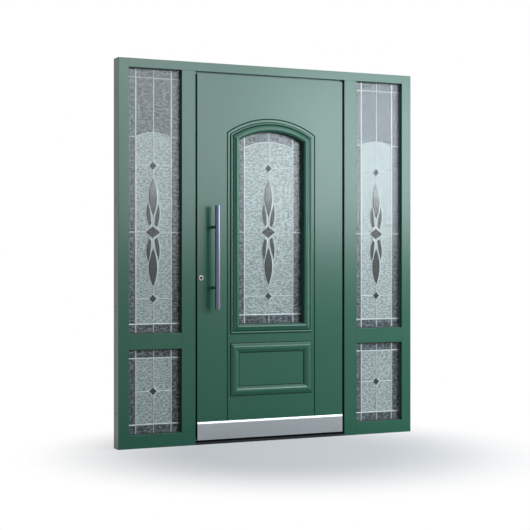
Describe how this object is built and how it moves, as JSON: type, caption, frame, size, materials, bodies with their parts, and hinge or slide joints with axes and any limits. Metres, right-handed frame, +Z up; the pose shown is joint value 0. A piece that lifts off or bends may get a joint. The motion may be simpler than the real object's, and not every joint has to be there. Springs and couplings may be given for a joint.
{
  "type": "front door set",
  "caption": "Green aluminium front door with an arched leaded window, raised mouldings, steel pull bar and kick plate, hinged inwards between fixed leaded sidelights.",
  "frame": {"origin": "underside of the threshold, at the middle of the doorway and of the frame's depth", "axes": "+X across to the right as seen from outside, +Y into the house, +Z up"},
  "size_m": [1.9, 0.233, 2.2],
  "materials": {
    "frame_paint": "satin powder coat",
    "leaf_paint": "satin powder coat",
    "clear_glass": "polished",
    "leaded_glass": "textured",
    "spacer": "matt",
    "gasket": "matt",
    "stainless": "satin",
    "sill": "dark anodised",
    "hinge": "satin powder coat"
  },
  "bodies": {
    "frame": {"left_jamb": "frame_paint", "right_jamb": "frame_paint", "head": "frame_paint", "left_mullion": "frame_paint", "right_mullion": "frame_paint", "left_bottom_rail": "frame_paint", "right_bottom_rail": "frame_paint", "left_transom": "frame_paint", "right_transom": "frame_paint", "glazing_beads": "frame_paint", "threshold": "sill", "sidelight_glass": "clear_glass", "sidelight_leaded_panes": "leaded_glass", "sidelight_spacers": "spacer", "sidelight_gaskets": "gasket", "frame_seal": "gasket", "strike_plate": "stainless", "lower_hinge_frame_part": "hinge", "middle_hinge_frame_part": "hinge", "upper_hinge_frame_part": "hinge"},
    "leaf": {"lock_stile": "leaf_paint", "hinge_stile": "leaf_paint", "top_rail": "leaf_paint", "bottom_rail": "leaf_paint", "door_panel": "leaf_paint", "outer_window_moulding": "leaf_paint", "inner_window_moulding": "leaf_paint", "outer_panel_moulding": "leaf_paint", "inner_panel_moulding": "leaf_paint", "door_glass": "clear_glass", "door_leaded_pane": "leaded_glass", "door_spacers": "spacer", "door_gaskets": "gasket", "bottom_seal": "gasket", "kick_plate": "stainless", "pull_bar": "stainless", "pull_posts": "stainless", "cylinder_rose": "stainless", "lock_cylinder": "stainless", "inside_plate": "stainless", "inside_lever": "stainless", "lock_faceplate": "stainless", "lower_hinge_leaf_part": "hinge", "middle_hinge_leaf_part": "hinge", "upper_hinge_leaf_part": "hinge"}
  },
  "joints": [
    {"name": "leaf_hinge", "type": "hinge", "parent": "frame", "child": "leaf", "pos_m": [0.501, 0.057, 0], "axis": [0, 0, -1], "range_deg": [0, 110]}
  ]
}
